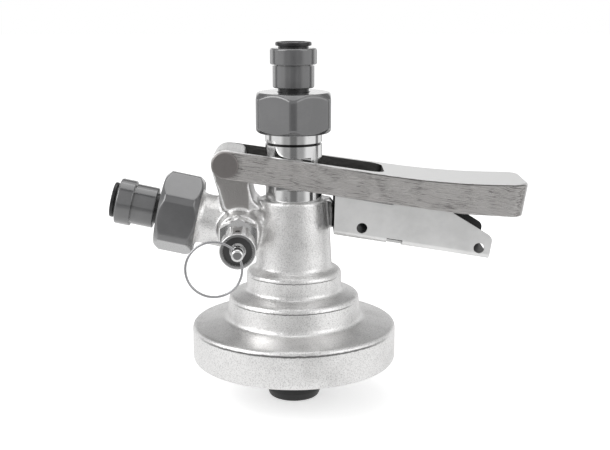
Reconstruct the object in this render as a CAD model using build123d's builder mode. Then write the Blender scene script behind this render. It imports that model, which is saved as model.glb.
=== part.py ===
from build123d import *

import os
from math import cos, radians, sin, sqrt, tan

# Keg coupler with a round bayonet base, a lever that drives a sliding probe, a gas inlet and a
# relief valve. Millimetres. The origin is the centre of the face that seats on the keg, +Z runs
# up the probe and +X runs along the lever. The lever is down, so the probe is driven into the keg.

# Clearances
running = 0.05
sliding_gap = 0.3
thread_gap = 0.1
arm_gap = 0.4

# Base, which turns onto the neck of the keg
base_r = 39.5
base_height = 14.4
base_round = 1.6
shoulder_rise = 2.0
cup_r = 33.0
cup_depth = 12.0
lug_count = 3
lug_reach = 4.5
lug_height = 4.5
lug_arc = 42.0

# Collar, waist and tower above the base
collar_r = 25.9
collar_height = 11.4
collar_draft = 0.8
waist_r = 18.3
waist_height = 9.6
tower_r = 14.7
tower_height = 28.2
tower_draft = 1.5
shoulder_round = 1.6
foot_round = 2.0

# Keg gasket
gasket_inner_r = 14.6
gasket_outer_r = 18.6
gasket_depth = 3.5
gasket_stand = 2.5

# Probe
probe_r = 10.7
probe_bore_r = 4.2
probe_drop = 15.6
probe_top = 88.7
seal_height = 6.6
spigot_r = 7.4
spigot_flange_r = 8.5
spigot_flange = 1.4
pocket_depth = 2.2
groove_depth = 0.6
groove_width = 0.9
groove_below_nut = 3.4

# Probe guide in the tower and its ring seal
chamber_r = 12.3
guide_length = 9.4
ring_wire = 0.8
ring_below_top = 5.0
mouth_chamfer = 1.1

# Ball that stops the beer running back
ball_r = 4.75
ball_chamber_r = 6.0
ball_travel = 3.0
cage_thickness = 1.2

# Hose fittings: one on the probe for beer and one on the body for gas
thread_r = 11.4
thread_length = 9.0
undercut_r = 9.6
nut_across_flats = 28.0
nut_corner_r = 15.5
nut_length = 15.2
nut_chamfer = 0.9
washer_thickness = 1.5
washer_inner_r = 6.2
flange_thickness = 1.7
neck_r = 5.8
neck_show = 1.6
spigot_press_r = 5.0
spigot_press = 3.0
tail_bore_r = 3.2
shell_r = 7.8
shell_length = 8.7
cap_r = 8.75
cap_length = 6.0
tube_r = 4.0
tube_clearance = 0.1
tube_ring_wire = 0.8
grab_thickness = 0.4
collet_wall = 1.25
collet_travel = 0.75
collet_show = 0.8
collet_flange_r = 6.75
collet_flange = 1.4

# Gas inlet on the body
gas_face_x = -36.3
gas_face_z = 55.9
gas_tilt = 12.0
gas_bore_r = 5.0
gas_port_r = 3.4
gas_bore_depth = 10.5
valve_wall = 1.0
valve_lip = 1.6

# Hinge ear, hinge pin and lever
pivot_x = -25.2
pivot_z = 78.0
lever_slope = -9.0
ear_half_width = 10.6
ear_eye_r = 5.6
pin_r = 3.0
pin_head_r = 5.0
pin_head = 0.8
hub_r = 5.3
hub_half_width = 12.4
arm_half_width = 13.6
grip_half_width = 15.0
arm_wide_at = 60.0
lever_length = 112.5
grip_end_round = 6.0
arm_top = 6.2
grip_sweep_start = 62.0
arm_bottom = 4.6
grip_end_top = 10.9
grip_end_bottom = 2.2
fork_round = 5.0
lever_edge_round = 0.8
grip_belly = 23.0
arm_level_from = 12.0
boss_r = 5.9

# Latch under the lever
latch_sheet = 1.0
latch_overcut = 5.0
latch_half_width = 13.0
latch_wall_gap = 0.3
latch_depth = 19.7
latch_front = 44.0
latch_front_lean = 2.05
latch_back = 102.7
latch_bend_r = 2.0
latch_pin_along = 67.0
latch_pin_r = 1.5
latch_eye_r = 3.4
latch_hole_r = 2.0
latch_slot_lead = 3.4
latch_slot_length = 6.0
latch_slot_rise = 2.0
latch_wall_height = 18.1
latch_tail_height = 8.4
latch_tail_slope = 23.0
front_hole_along = 9.8
front_hole_up = 4.3
back_hole_along = 4.4
back_hole_up = 3.6
cavity_lead = 4.2
fork_wall = 3.9
grip_wall = 2.6
grip_crown_back = 24.0
grip_crown_rise = 1.6
grip_end_wall = 3.6
lever_lug_width = 3.0
spring_wire_r = 0.55
spring_turns = 3.336
spring_pitch = 1.5
spring_foot = 145.0
spring_leg = 15.0
spring_arm = 12.0

# Catch on the tower for the latch
catch_half_width = 4.0
catch_reach = 16.2

# Relief valve
relief_x = -20.9
relief_z = 52.4
relief_turn = 2.4
relief_boss_r = 8.0
relief_boss_end = 16.0
relief_spigot_r = 5.0
relief_spigot = 7.0
relief_flats = 13.5
relief_hex_length = 7.0
relief_barrel_r = 6.1
relief_length = 26.0
relief_rim_r = 6.45
relief_rim = 2.0
relief_recess = 1.0
relief_chamber_r = 4.6
relief_seat_r = 2.2
relief_cap = 2.0
stem_r = 1.5
stem_head_r = 2.2
stem_head_length = 5.4
stem_show = 0.8
stem_disc = 1.4
relief_pad = 1.2
relief_spring_wire_r = 0.45
relief_spring_turns = 5
vent_back = 6.0
ring_wire_r = 0.45
ring_r = 9.8
ring_droop = 33.0
ring_hole_r = 1.0

# Places worked out from the sizes above
collar_bottom = base_height + shoulder_rise
collar_top = base_height + collar_height
waist_bottom = collar_top + shoulder_rise
waist_top = collar_top + waist_height
tower_bottom = waist_top + shoulder_rise * 0.8
tower_top = waist_top + tower_height
tower_top_r = tower_r - tower_draft
guide_r = probe_r + running
guide_bottom = tower_top - guide_length
ring_seal_z = tower_top - ring_below_top
flat_y = probe_r - pocket_depth
boss_along = -pivot_x / cos(radians(lever_slope))
boss_z = pivot_z + boss_along * sin(radians(lever_slope))
pocket_height = 2 * (boss_r + sliding_gap)
fork_half_width = ear_half_width + arm_gap
nut_r = thread_r + thread_gap
washer_at = thread_length
flange_at = washer_at + washer_thickness
nut_roof = flange_at + flange_thickness
shell_at = nut_length + neck_show
cap_at = shell_at + shell_length
cap_end = cap_at + cap_length
tube_socket_r = tube_r + tube_clearance
collet_bore_r = tube_socket_r + sliding_gap
collet_r = collet_bore_r + collet_wall
collet_end = cap_end + collet_show + collet_flange
probe_thread_end = probe_top + thread_length
collar_edge = probe_top - groove_below_nut
cavity_start = latch_pin_along - cavity_lead
fork_length = cavity_start - fork_wall
latch_slot_start = latch_pin_along - latch_slot_lead
latch_slot_end = latch_slot_start + latch_slot_length
ball_seat = probe_thread_end - cage_thickness - ball_travel - 2 * ball_r - 1.0
latch_half_inside = latch_half_width - latch_sheet

base_plane = Plane.XY
beer_plane = Plane.XY.offset(probe_top)
gas_axis = Vector(-cos(radians(gas_tilt)), 0, sin(radians(gas_tilt)))
gas_plane = Plane(Vector(gas_face_x, 0, gas_face_z), x_dir=(0, 1, 0), z_dir=gas_axis)
lever_axis = Vector(cos(radians(lever_slope)), 0, sin(radians(lever_slope)))
lever_side = Plane(Vector(pivot_x, 0, pivot_z), x_dir=lever_axis, z_dir=(0, -1, 0))
lever_plan = Plane(Vector(pivot_x, 0, pivot_z), x_dir=lever_axis, z_dir=lever_side.y_dir)
relief_axis = Vector(sin(radians(relief_turn)), -cos(radians(relief_turn)), 0)
relief_plane = Plane(Vector(relief_x, 0, relief_z), x_dir=(0, 0, 1), z_dir=relief_axis)


def outline(*corners):
    """A closed outline. A corner is (x, y), or (x, y, radius) where it is rounded."""
    points = [corner[:2] for corner in corners]
    rounds = [corner[2] if len(corner) > 2 else 0 for corner in corners]
    return FilletPolyline(*points, radius=rounds, close=True)


def turn(seat, *corners, mode=Mode.ADD):
    """Turn a closed outline of (radius, height) corners about the axis of a seat plane."""
    with BuildSketch(Plane(seat.origin, x_dir=seat.x_dir, z_dir=-seat.y_dir)) as section:
        with BuildLine():
            outline(*corners)
        make_face()
    revolve(section.sketch, axis=Axis(seat.origin, seat.z_dir), mode=mode)


def rod(seat, radius, start, end, mode=Mode.ADD):
    """A round rod, or a round hole, along the axis of a seat plane."""
    with BuildSketch(seat.offset(start)) as section:
        Circle(radius)
    extrude(section.sketch, amount=end - start, mode=mode)


def slab(plane, *corners, start=0, end=1, mode=Mode.ADD):
    """A flat-sided block of a closed outline, between two heights over a plane."""
    with BuildSketch(plane.offset(start)) as section:
        with BuildLine():
            outline(*corners)
        make_face()
    extrude(section.sketch, amount=end - start, mode=mode)


def finish(builder, name):
    """Name a sub-part and write it."""
    builder.part.label = name
    export_step(builder.part, f"parts/{name}.step")


os.makedirs("parts", exist_ok=True)


# Body casting: base, collar, waist and tower in one, with the gas branch, the relief boss, the
# hinge ear and the catch

ear_foot = gas_face_z + (gas_face_x - relief_x) * -tan(radians(gas_tilt))
catch_foot = 52.4
ear_heel = 5.3
ear_neck_along = 8.7
ear_neck_down = 7.0
ear_shoulder_along = 6.4
ear_shoulder_up = 4.4

with BuildPart() as coupler_body:
    turn(
        base_plane,
        (0, 0),
        (base_r, 0, base_round),
        (base_r, base_height, base_round),
        (collar_r, collar_bottom, foot_round),
        (collar_r - collar_draft, collar_top, shoulder_round),
        (waist_r, waist_bottom, shoulder_round),
        (waist_r, waist_top, shoulder_round),
        (tower_r, tower_bottom, shoulder_round),
        (tower_top_r, tower_top),
        (0, tower_top),
    )
    rod(gas_plane, undercut_r, gas_face_x + chamber_r, 0)
    rod(gas_plane, thread_r, 0, thread_length)
    rod(relief_plane, relief_boss_r, 0, relief_boss_end)
    with BuildSketch(Plane.XZ.offset(-ear_half_width)) as ear_side:
        with Locations((pivot_x, pivot_z)):
            Circle(ear_eye_r)
        with BuildLine():
            outline(
                (pivot_x - ear_heel, pivot_z - 2.0),
                (pivot_x - 1.1, ear_foot + 1.0),
                (-11.5, ear_foot + 1.0),
                (-13.4, tower_top - 0.6, 1.5),
                (-15.0, tower_top + 0.4, 0.8),
                (pivot_x + ear_neck_along, pivot_z - ear_neck_down, 4.0),
                (pivot_x + ear_shoulder_along, pivot_z + ear_shoulder_up, 2.0),
                (pivot_x, pivot_z + ear_eye_r - 0.1),
            )
        make_face()
    extrude(ear_side.sketch, amount=2 * ear_half_width)
    slab(
        Plane.XZ,
        (tower_top_r - 2.0, catch_foot + 1.5),
        (catch_reach - 1.4, catch_foot, 0.4),
        (catch_reach, catch_foot + 3.2, 0.8),
        (catch_reach, tower_top - 3.5, 0.8),
        (tower_top_r + 0.6, tower_top, 0.6),
        (tower_top_r - 2.0, tower_top),
        start=-catch_half_width,
        end=catch_half_width,
    )
    # Inside: the cup with its lugs, the gasket groove, the gas chamber and the probe guide
    turn(base_plane, (0, 0), (cup_r, 0), (cup_r, cup_depth, 1.5), (0, cup_depth), mode=Mode.SUBTRACT)
    turn(
        base_plane,
        (gasket_inner_r, cup_depth),
        (gasket_outer_r, cup_depth),
        (gasket_outer_r, cup_depth + gasket_depth),
        (gasket_inner_r, cup_depth + gasket_depth),
        mode=Mode.SUBTRACT,
    )
    rod(base_plane, chamber_r, cup_depth, guide_bottom, mode=Mode.SUBTRACT)
    turn(
        base_plane,
        (0, guide_bottom),
        (guide_r, guide_bottom),
        (guide_r, tower_top - mouth_chamfer),
        (guide_r + mouth_chamfer, tower_top),
        (0, tower_top),
        mode=Mode.SUBTRACT,
    )
    turn(
        base_plane,
        (probe_r, ring_seal_z - ring_wire - 0.1),
        (probe_r + 2 * ring_wire + 0.1, ring_seal_z - ring_wire - 0.1),
        (probe_r + 2 * ring_wire + 0.1, ring_seal_z + ring_wire + 0.1),
        (probe_r, ring_seal_z + ring_wire + 0.1),
        mode=Mode.SUBTRACT,
    )
    for number in range(lug_count):
        start_angle = 30 + 360 / lug_count * number
        lug_plane = Plane.XY.rotated((0, 0, start_angle))
        with BuildSketch(Plane(lug_plane.origin, x_dir=lug_plane.x_dir, z_dir=-lug_plane.y_dir)) as lug:
            with BuildLine():
                outline(
                    (cup_r - lug_reach, 0),
                    (cup_r + 1.0, 0),
                    (cup_r + 1.0, lug_height + 1.2),
                    (cup_r - 0.6, lug_height + 1.2),
                    (cup_r - lug_reach, lug_height - 0.6, 0.5),
                )
            make_face()
        revolve(lug.sketch, axis=Axis.Z, revolution_arc=lug_arc)
    # Gas way in, and the way across to the relief valve
    rod(gas_plane, gas_bore_r, -gas_bore_depth, thread_length, mode=Mode.SUBTRACT)
    rod(gas_plane, gas_port_r, gas_face_x + 1.0 + probe_r, 0, mode=Mode.SUBTRACT)
    rod(relief_plane, relief_seat_r, 0, relief_boss_end, mode=Mode.SUBTRACT)
    rod(relief_plane, relief_spigot_r, relief_boss_end - relief_spigot, relief_boss_end, mode=Mode.SUBTRACT)
    with BuildSketch(Plane.XZ.offset(-ear_half_width)) as hinge_hole:
        with Locations((pivot_x, pivot_z)):
            Circle(pin_r)
    extrude(hinge_hole.sketch, amount=2 * ear_half_width, mode=Mode.SUBTRACT)
finish(coupler_body, "coupler_body")


# Seals held in the body casting

with BuildPart() as keg_gasket:
    turn(
        base_plane,
        (gasket_inner_r, cup_depth + gasket_depth),
        (gasket_inner_r, cup_depth - gasket_stand, 0.9),
        (gasket_inner_r + 1.9, cup_depth - gasket_stand, 0.9),
        (gasket_inner_r + 2.1, cup_depth - gasket_stand + 1.1),
        (gasket_outer_r, cup_depth - 0.8),
        (gasket_outer_r, cup_depth + gasket_depth),
    )
finish(keg_gasket, "keg_gasket")

with BuildPart() as probe_ring_seal:
    with BuildSketch(Plane.XZ) as ring_wire_section:
        with Locations((guide_r + ring_wire, ring_seal_z)):
            Circle(ring_wire)
    revolve(ring_wire_section.sketch, axis=Axis.Z)
finish(probe_ring_seal, "probe_ring_seal")


# Probe: a tube with flats for the lever's bosses, a spigot for its seal and a ball seat

with BuildPart() as probe:
    spigot_top = seal_height - probe_drop
    spigot_end = -probe_drop + 0.8
    turn(
        base_plane,
        (0, spigot_end),
        (spigot_flange_r, spigot_end),
        (spigot_flange_r, spigot_end + spigot_flange),
        (spigot_r, spigot_end + spigot_flange + 0.6),
        (spigot_r, spigot_top),
        (probe_r, spigot_top),
        (probe_r, collar_edge - groove_width),
        (probe_r - groove_depth, collar_edge - groove_width),
        (probe_r - groove_depth, collar_edge),
        (probe_r, collar_edge),
        (probe_r, probe_top),
        (thread_r, probe_top),
        (thread_r, probe_thread_end, 0.6),
        (0, probe_thread_end),
    )
    with BuildSketch(Plane.XZ) as pocket:
        with Locations((0, boss_z)):
            Rectangle(4 * probe_r, pocket_height)
    for side in (-1, 1):
        flat = pocket.sketch.moved(Location((0, side * flat_y, 0)))
        extrude(flat, amount=-side * probe_r, mode=Mode.SUBTRACT)
    turn(
        base_plane,
        (0, -probe_drop),
        (probe_bore_r + 1.2, -probe_drop),
        (probe_bore_r, -probe_drop + 2.0),
        (probe_bore_r, ball_seat),
        (ball_chamber_r, ball_seat + ball_chamber_r - probe_bore_r),
        (ball_chamber_r, probe_thread_end),
        (0, probe_thread_end),
        mode=Mode.SUBTRACT,
    )
finish(probe, "probe")

with BuildPart() as probe_seal:
    turn(
        base_plane,
        (spigot_r, spigot_top),
        (spigot_r, spigot_end + spigot_flange + 0.6),
        (spigot_flange_r, spigot_end + spigot_flange),
        (spigot_flange_r, spigot_end),
        (probe_bore_r + 2.0, spigot_end),
        (probe_bore_r + 2.0, -probe_drop, 0.3),
        (probe_r - 1.1, -probe_drop, 1.4),
        (probe_r - 0.1, -probe_drop + 3.0, 0.8),
        (probe_r - 0.1, spigot_top),
    )
finish(probe_seal, "probe_seal")

ball_rest = ball_seat + sqrt(ball_r ** 2 - probe_bore_r ** 2) + 0.05
with BuildPart() as beer_check_ball:
    with BuildSketch(Plane.XZ) as half_disc:
        with BuildLine():
            CenterArc((0, ball_rest), ball_r, -90, 180)
            Line((0, ball_rest + ball_r), (0, ball_rest - ball_r))
        make_face()
    revolve(half_disc.sketch, axis=Axis.Z)
finish(beer_check_ball, "beer_check_ball")

with BuildPart() as ball_cage:
    rod(base_plane, ball_chamber_r, probe_thread_end - cage_thickness, probe_thread_end)
    rod(base_plane, 1.0, probe_thread_end - cage_thickness, probe_thread_end, mode=Mode.SUBTRACT)
    with BuildSketch(Plane.XY.offset(probe_thread_end)) as cage_holes:
        with PolarLocations(3.4, 3):
            SlotCenterToCenter(1.6, 2.6, rotation=90)
    extrude(cage_holes.sketch, amount=-cage_thickness, mode=Mode.SUBTRACT)
finish(ball_cage, "ball_cage")


# Push-in hose fitting, held by a nut

def make_fitting(seat, use):
    """Nut, washer, tail, shell, cap, grab ring, ring seal and collet on one seat plane."""
    with BuildPart() as nut:
        with BuildSketch(seat) as hexagon:
            RegularPolygon(nut_across_flats / 2, 6, major_radius=False, rotation=30)
        extrude(hexagon.sketch, amount=nut_length)
        turn(
            seat,
            (0, 0),
            (nut_corner_r - 2 * nut_chamfer, 0),
            (nut_corner_r, nut_chamfer),
            (nut_corner_r, nut_length - nut_chamfer),
            (nut_corner_r - 2 * nut_chamfer, nut_length),
            (0, nut_length),
            mode=Mode.INTERSECT,
        )
        rod(seat, nut_r, 0, nut_roof, mode=Mode.SUBTRACT)
        rod(seat, neck_r + sliding_gap, nut_roof, nut_length, mode=Mode.SUBTRACT)
    finish(nut, f"{use}_nut")

    with BuildPart() as washer:
        rod(seat, nut_r - 0.4, washer_at, flange_at)
        rod(seat, washer_inner_r, washer_at, flange_at, mode=Mode.SUBTRACT)
    finish(washer, f"{use}_washer")

    with BuildPart() as tail:
        turn(
            seat,
            (tail_bore_r, flange_at),
            (nut_r - 0.2, flange_at),
            (nut_r - 0.2, nut_roof),
            (neck_r, nut_roof),
            (neck_r, shell_at),
            (spigot_press_r, shell_at),
            (spigot_press_r, shell_at + spigot_press),
            (tail_bore_r, shell_at + spigot_press),
        )
    finish(tail, f"{use}_tail")

    ring_room = tube_socket_r + 2 * tube_ring_wire
    ring_at = cap_at + 0.2
    with BuildPart() as shell:
        turn(
            seat,
            (spigot_press_r, shell_at),
            (shell_r, shell_at, 0.5),
            (shell_r, cap_at - 0.5),
            (shell_r - 0.5, cap_at - 0.5),
            (shell_r - 0.5, cap_at + 2.2),
            (ring_room, cap_at + 2.2),
            (ring_room, ring_at),
            (tube_socket_r, ring_at),
            (tube_socket_r, shell_at + spigot_press + 0.4),
            (spigot_press_r, shell_at + spigot_press + 0.4),
        )
    finish(shell, f"{use}_shell")

    with BuildPart() as tube_ring:
        with BuildSketch(Plane(seat.origin, x_dir=seat.x_dir, z_dir=-seat.y_dir)) as wire:
            with Locations((ring_room - tube_ring_wire, ring_at + tube_ring_wire + 0.1)):
                Circle(tube_ring_wire)
        revolve(wire.sketch, axis=Axis(seat.origin, seat.z_dir))
    finish(tube_ring, f"{use}_tube_ring")

    grab_at = cap_at + 2.2
    with BuildPart() as grab_ring:
        rod(seat, shell_r - 0.6, grab_at, grab_at + grab_thickness)
        rod(seat, collet_bore_r, grab_at, grab_at + grab_thickness, mode=Mode.SUBTRACT)
        with BuildSketch(seat.offset(grab_at)) as tooth_gaps:
            with PolarLocations(collet_bore_r + 0.6, 8):
                Rectangle(2.0, 0.7)
        extrude(tooth_gaps.sketch, amount=grab_thickness, mode=Mode.SUBTRACT)
    finish(grab_ring, f"{use}_grab_ring")

    with BuildPart() as cap:
        turn(
            seat,
            (shell_r - 0.5, cap_at),
            (cap_r, cap_at, 0.4),
            (cap_r, cap_end, 0.7),
            (collet_r + sliding_gap / 2, cap_end),
            (collet_r + sliding_gap / 2, grab_at + grab_thickness + 0.4),
            (shell_r - 0.5, grab_at + grab_thickness + 0.4),
        )
    finish(cap, f"{use}_cap")

    with BuildPart() as collet:
        turn(
            seat,
            (collet_bore_r, grab_at + grab_thickness + collet_travel + 0.15),
            (collet_r, grab_at + grab_thickness + collet_travel + 0.15),
            (collet_r, collet_end - collet_flange),
            (collet_flange_r, collet_end - collet_flange, 0.3),
            (collet_flange_r, collet_end, 0.5),
            (collet_bore_r + 0.5, collet_end),
            (collet_bore_r, collet_end - 0.5),
        )
    finish(collet, f"{use}_collet")


make_fitting(beer_plane, "beer")
make_fitting(gas_plane, "gas")


# Duckbill valve that lets gas in and keeps beer out of the gas line

with BuildPart() as gas_check_valve:
    valve_r = gas_bore_r - 0.1
    turn(
        gas_plane,
        (0, thread_length),
        (valve_r, thread_length),
        (valve_r, 0),
        (0, 0),
    )
    with BuildSketch(gas_plane) as bill_root:
        Circle(valve_r)
    with BuildSketch(gas_plane.offset(-0.8 * gas_bore_depth)) as bill_lip:
        SlotOverall(2 * valve_r - 1.0, valve_lip)
    loft(Sketch() + [bill_root.sketch, bill_lip.sketch])
    rod(gas_plane, valve_r - valve_wall, 1.0, thread_length, mode=Mode.SUBTRACT)
    with BuildSketch(gas_plane.offset(1.0)) as mouth:
        Circle(valve_r - valve_wall)
    with BuildSketch(gas_plane.offset(-0.8 * gas_bore_depth)) as slit:
        Rectangle(2 * valve_r - 3.0, 0.3)
    loft(Sketch() + [mouth.sketch, slit.sketch], mode=Mode.SUBTRACT)
finish(gas_check_valve, "gas_check_valve")


# Relief valve: body, front cap, stem with its pad, spring and pull ring

relief_chamber = relief_boss_end - 2.0
relief_end = relief_boss_end + relief_length
cap_front = relief_end - relief_recess
pad_at = relief_chamber
disc_at = pad_at + relief_pad

with BuildPart() as relief_body:
    rod(relief_plane, relief_spigot_r, relief_boss_end - relief_spigot, relief_boss_end)
    with BuildSketch(relief_plane.offset(relief_boss_end)) as relief_hex:
        RegularPolygon(relief_flats / 2, 6, major_radius=False)
    extrude(relief_hex.sketch, amount=relief_hex_length)
    turn(
        relief_plane,
        (0, relief_boss_end),
        (relief_barrel_r, relief_boss_end),
        (relief_barrel_r, relief_end - relief_rim),
        (relief_rim_r, relief_end - relief_rim),
        (relief_rim_r, relief_end, 0.4),
        (0, relief_end),
    )
    turn(
        relief_plane,
        (0, relief_boss_end - relief_spigot),
        (relief_seat_r, relief_boss_end - relief_spigot),
        (relief_seat_r, relief_chamber),
        (relief_chamber_r, relief_chamber),
        (relief_chamber_r, cap_front - relief_cap),
        (relief_chamber_r + 0.7, cap_front - relief_cap),
        (relief_chamber_r + 0.7, relief_end),
        (0, relief_end),
        mode=Mode.SUBTRACT,
    )
    for side in (-1, 1):
        vent_start = relief_plane.offset(relief_end - vent_back).origin
        vent_plane = Plane(vent_start, x_dir=relief_axis, z_dir=(0, 0, side))
        rod(vent_plane, 1.0, relief_chamber_r - 1.0, relief_rim_r, mode=Mode.SUBTRACT)
finish(relief_body, "relief_body")

with BuildPart() as relief_cap_ring:
    turn(
        relief_plane,
        (stem_r + sliding_gap, cap_front - relief_cap),
        (relief_chamber_r + 0.7, cap_front - relief_cap),
        (relief_chamber_r + 0.7, cap_front, 0.3),
        (stem_head_r + sliding_gap + 0.4, cap_front),
        (stem_r + sliding_gap, cap_front - 0.9),
    )
finish(relief_cap_ring, "relief_cap")

head_at = relief_end + stem_show
ring_plane = relief_plane.offset(head_at + stem_head_length / 2)
ring_out = Vector(-sin(radians(ring_droop)), cos(radians(ring_droop)), 0)
ring_along = Vector(cos(radians(ring_droop)), sin(radians(ring_droop)), 0)
ring_hole = Plane(ring_plane.origin, z_dir=ring_plane.from_local_coords(ring_along) - ring_plane.origin)
with BuildPart() as relief_stem:
    turn(
        relief_plane,
        (0, disc_at),
        (relief_chamber_r - sliding_gap, disc_at),
        (relief_chamber_r - sliding_gap, disc_at + stem_disc),
        (stem_r, disc_at + stem_disc),
        (stem_r, head_at),
        (stem_head_r, head_at + 0.4, 0.3),
        (stem_head_r, head_at + stem_head_length, 0.9),
        (0, head_at + stem_head_length),
    )
    rod(ring_hole, ring_hole_r, -stem_head_r - 1.0, stem_head_r + 1.0, mode=Mode.SUBTRACT)
finish(relief_stem, "relief_stem")

with BuildPart() as relief_pad_seal:
    rod(relief_plane, relief_chamber_r - sliding_gap, pad_at, disc_at)
finish(relief_pad_seal, "relief_pad")

with BuildPart() as relief_spring:
    spring_start = disc_at + stem_disc + relief_spring_wire_r
    spring_run = cap_front - relief_cap - relief_spring_wire_r - spring_start
    spring_mean_r = stem_r + sliding_gap + 2 * relief_spring_wire_r
    spring_base = relief_plane.offset(spring_start).origin
    with BuildLine() as relief_coil:
        Helix(spring_run / relief_spring_turns, spring_run, spring_mean_r, spring_base, relief_axis)
    with BuildSketch(Plane(relief_coil.line @ 0, z_dir=relief_coil.line % 0)) as coil_wire:
        Circle(relief_spring_wire_r)
    sweep(coil_wire.sketch, path=relief_coil.line)
finish(relief_spring, "relief_spring")

with BuildPart() as pull_ring:
    ring_far = ring_plane.from_local_coords(ring_out * 2 * ring_r)
    with BuildSketch(Plane(ring_far, z_dir=ring_hole.z_dir)) as ring_section:
        Circle(ring_wire_r)
    ring_centre = ring_plane.from_local_coords(ring_out * ring_r)
    revolve(ring_section.sketch, axis=Axis(ring_centre, relief_axis))
finish(pull_ring, "pull_ring")


# Hinge pin, riveted over at both ends

def cross_rod(along, height, radius, half_length, mode=Mode.ADD):
    """A rod or hole across the lever, centred, at a place in the lever's own frame."""
    with BuildSketch(lever_side.offset(-half_length)) as section:
        with Locations((along, height)):
            Circle(radius)
    extrude(section.sketch, amount=2 * half_length, mode=mode)


with BuildPart() as hinge_pin:
    cross_rod(0, 0, pin_r, hub_half_width + running)
    for side in (-1, 1):
        with BuildSketch(lever_side.offset(side * (hub_half_width + running))) as head:
            Circle(pin_head_r)
        extrude(head.sketch, amount=side * pin_head)
    fillet(hinge_pin.edges().filter_by(GeomType.CIRCLE).group_by(Axis.Y)[0], 0.5)
    fillet(hinge_pin.edges().filter_by(GeomType.CIRCLE).group_by(Axis.Y)[-1], 0.5)
finish(hinge_pin, "hinge_pin")


# Lever: a fork that straddles the probe and a grip that is hollow underneath

with BuildPart() as lever:
    with BuildSketch(lever_side.offset(-grip_half_width)) as side_view:
        Circle(hub_r)
        with BuildLine():
            top_edge = Line((0, hub_r), (grip_sweep_start, arm_top))
            sweep_up = TangentArc(top_edge @ 1, (lever_length, grip_end_top), tangent=top_edge % 1)
            end_edge = Line(sweep_up @ 1, (lever_length, -grip_end_bottom + 0.3))
            under_end = Line(end_edge @ 1, (lever_length - 3.6, -grip_end_bottom))
            under_grip = Line(under_end @ 1, (lever_length - grip_belly, -arm_bottom + 0.6))
            under_arm = Line(under_grip @ 1, (arm_level_from, -hub_r + 0.1))
            Polyline(under_arm @ 1, (0, -hub_r), (0, hub_r))
        make_face()
    extrude(side_view.sketch, amount=2 * grip_half_width)
    with BuildSketch(lever_plan.offset(-2 * grip_half_width)) as plan_view:
        with BuildLine():
            outline(
                (-hub_r - 1.0, -hub_half_width),
                (pin_head_r + 1.0, -hub_half_width, 4.0),
                (boss_along, -arm_half_width, 40.0),
                (arm_wide_at, -grip_half_width, 60.0),
                (lever_length, -grip_half_width, grip_end_round),
                (lever_length, grip_half_width, grip_end_round),
                (arm_wide_at, grip_half_width, 60.0),
                (boss_along, arm_half_width, 40.0),
                (pin_head_r + 1.0, hub_half_width, 4.0),
                (-hub_r - 1.0, hub_half_width),
            )
        make_face()
    extrude(plan_view.sketch, amount=4 * grip_half_width, mode=Mode.INTERSECT)
    fillet(lever.edges(), lever_edge_round)
    slab(
        lever_plan,
        (-2 * hub_r, -fork_half_width),
        (fork_length, -fork_half_width, fork_round),
        (fork_length, fork_half_width, fork_round),
        (-2 * hub_r, fork_half_width),
        start=-2 * grip_half_width,
        end=2 * grip_half_width,
        mode=Mode.SUBTRACT,
    )
    cavity_half_width = latch_half_width + latch_wall_gap
    slab(
        lever_side,
        (cavity_start, -latch_depth),
        (lever_length - grip_end_wall, -latch_depth),
        (lever_length - grip_end_wall, grip_end_top - 1.5 * grip_wall, 2.0),
        (lever_length - grip_crown_back, arm_top + grip_crown_rise - grip_wall, 30.0),
        (cavity_start, arm_top - grip_wall, 1.0),
        start=-cavity_half_width,
        end=cavity_half_width,
        mode=Mode.SUBTRACT,
    )
    lug_outer = latch_half_inside - sliding_gap
    for side in (-1, 1):
        slab(
            lever_side,
            (latch_pin_along - latch_eye_r + 0.3, arm_top - grip_wall + 0.6),
            (latch_pin_along - latch_eye_r + 0.3, -latch_eye_r + 0.3, 2.4),
            (latch_pin_along + latch_eye_r - 0.3, -latch_eye_r + 0.3, 2.4),
            (latch_pin_along + latch_eye_r - 0.3, arm_top - grip_wall + 0.6),
            start=side * lug_outer,
            end=side * (lug_outer - lever_lug_width),
        )
        with BuildSketch(lever_side.offset(side * (fork_half_width + 0.5))) as boss:
            with Locations((boss_along, 0)):
                Circle(boss_r)
        extrude(boss.sketch, amount=-side * (fork_half_width + 0.5 - flat_y - sliding_gap))
    cross_rod(latch_pin_along, 0, latch_pin_r, latch_half_inside, mode=Mode.SUBTRACT)
    cross_rod(0, 0, pin_r + running, grip_half_width, mode=Mode.SUBTRACT)
finish(lever, "lever")


# Latch: a channel of bent sheet that hangs in the lever on its own pin

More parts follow.
